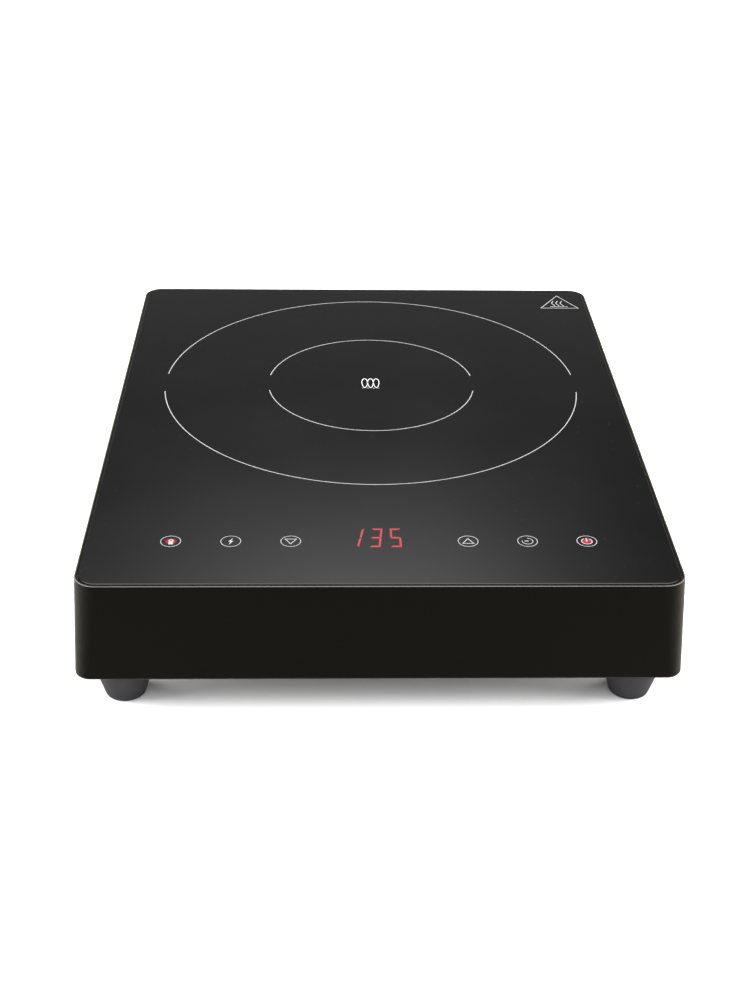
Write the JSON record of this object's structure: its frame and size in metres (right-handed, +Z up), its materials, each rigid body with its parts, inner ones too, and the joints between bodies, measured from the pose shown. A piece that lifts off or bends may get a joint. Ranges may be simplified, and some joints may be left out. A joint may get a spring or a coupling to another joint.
{
  "type": "induction hob",
  "caption": "Table-top induction hob: flat black case, glass-ceramic top with a ring-marked cooking zone, touch keys behind the front edge, tapered feet, a cooling fan inside.",
  "frame": {"origin": "on the table, under the middle of the hob", "axes": "+Z up, +Y towards the rear where the cable enters, +X to the right seen from the keys"},
  "size_m": [0.3058, 0.3749, 0.075],
  "materials": {
    "case_plastic": "satin moulded",
    "cover_plastic": "fine moulded grain",
    "glass_ceramic": "polished black",
    "sealant": "smooth silicone",
    "foot_rubber": "matt moulded",
    "bushing_plastic": "satin moulded",
    "screw_steel": "zinc plated",
    "tray_plastic": "natural moulded",
    "circuit_board": "solder mask",
    "power_circuit_board": "phenolic",
    "conductive_rubber": "carbon-filled",
    "spring_steel": "bright wire",
    "lamp_plastic": "clear moulded",
    "display_plastic": "filled face",
    "chip_epoxy": "moulded epoxy",
    "former_plastic": "heat-resistant moulded",
    "litz_copper": "enamelled strands",
    "ferrite": "ground",
    "mica": "pressed sheet",
    "sensor_silicone": "smooth",
    "lead_sleeve": "braided sleeve",
    "fan_plastic": "glass-filled moulded",
    "bearing_bronze": "sintered",
    "magnet_ferrite": "ground",
    "shaft_steel": "ground",
    "stator_steel": "laminated",
    "heatsink_aluminium": "extruded",
    "capacitor_film_yellow": "boxed",
    "capacitor_can": "sleeved",
    "transformer_tape": "taped",
    "fuse_glass": "clear tube",
    "connector_plastic": "natural nylon",
    "wire_insulation": "extruded"
  },
  "bodies": {
    "base": {"housing": "case_plastic", "glass_plate": "glass_ceramic", "glass_seal": "sealant", "bottom_cover": "cover_plastic", "cover_screws": "screw_steel", "foot_screws": "screw_steel", "cable_bushing": "bushing_plastic", "bushing_nut": "bushing_plastic", "control_carrier": "tray_plastic", "carrier_screws": "screw_steel", "control_board": "circuit_board", "control_board_screws": "screw_steel", "touch_sleeves": "conductive_rubber", "key_lamps": "lamp_plastic", "display_module": "display_plastic", "control_chips": "chip_epoxy", "coil_former": "former_plastic", "coil_winding": "litz_copper", "ferrite_bars": "ferrite", "mica_sheet": "mica", "coil_springs": "spring_steel", "temperature_sensor": "sensor_silicone", "coil_leads": "lead_sleeve", "fan_frame": "fan_plastic", "fan_bearing": "bearing_bronze", "fan_stator": "stator_steel", "fan_coils": "litz_copper", "fan_screws": "screw_steel", "power_board": "power_circuit_board", "filter_board": "power_circuit_board", "board_screws": "screw_steel", "heatsink": "heatsink_aluminium", "heatsink_screws": "screw_steel", "power_transistor": "chip_epoxy", "bridge_rectifier": "chip_epoxy", "resonance_capacitor": "capacitor_film_yellow", "smoothing_capacitor": "capacitor_film_yellow", "electrolytic_capacitors": "capacitor_can", "supply_transformer": "transformer_tape", "buzzer": "chip_epoxy", "coil_studs": "stator_steel", "board_connectors": "connector_plastic", "choke_core": "ferrite", "choke_winding": "litz_copper", "interference_capacitor": "capacitor_film_yellow", "mains_fuse": "fuse_glass", "fuse_clips": "stator_steel", "terminal_block": "connector_plastic", "terminal_screws": "screw_steel", "mains_leads": "wire_insulation", "fan_lead": "wire_insulation", "sensor_lead": "wire_insulation", "ribbon_cable": "lead_sleeve", "foot_front_left": "foot_rubber", "foot_front_right": "foot_rubber", "foot_rear_left": "foot_rubber", "foot_rear_right": "foot_rubber"},
    "fan_rotor": {"fan_impeller": "fan_plastic", "fan_magnet": "magnet_ferrite", "fan_shaft": "shaft_steel"}
  },
  "joints": [
    {"name": "fan_spin", "type": "hinge", "parent": "base", "child": "fan_rotor", "pos_m": [-0.085, 0.095, 0.035], "axis": [0, 0, 1], "continuous": true}
  ]
}
